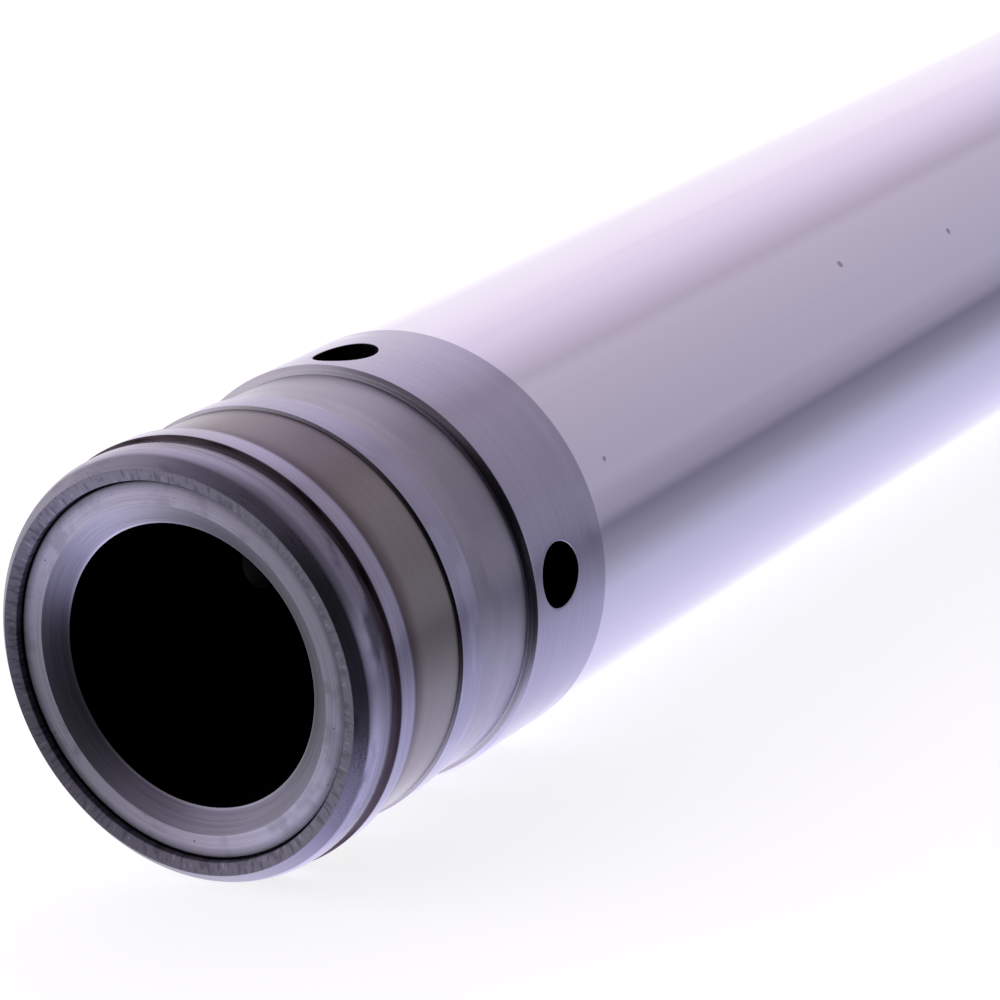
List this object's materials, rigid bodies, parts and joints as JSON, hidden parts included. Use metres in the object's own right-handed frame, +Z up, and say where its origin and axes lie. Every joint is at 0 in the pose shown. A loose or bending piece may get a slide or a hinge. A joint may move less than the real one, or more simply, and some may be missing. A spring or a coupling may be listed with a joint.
{
  "type": "fork tube",
  "caption": "Chromed inner tube of a telescopic front fork, with a rolled lower end, a stepped bush seat, oil holes and an inside thread for the cap.",
  "frame": {"origin": "on the tube's axis, at the mouth of the narrow bore in the lower end", "axes": "+X along the axis towards the upper end with the cap thread; +Z up through one oil hole; the tube lies on its side"},
  "size_m": [0.6, 0.041, 0.0408],
  "materials": {
    "tube_steel": "hard chrome on ground steel, bare turned steel at the lower end"
  },
  "bodies": {
    "root": {"fork_tube": "tube_steel"}
  },
  "joints": []
}
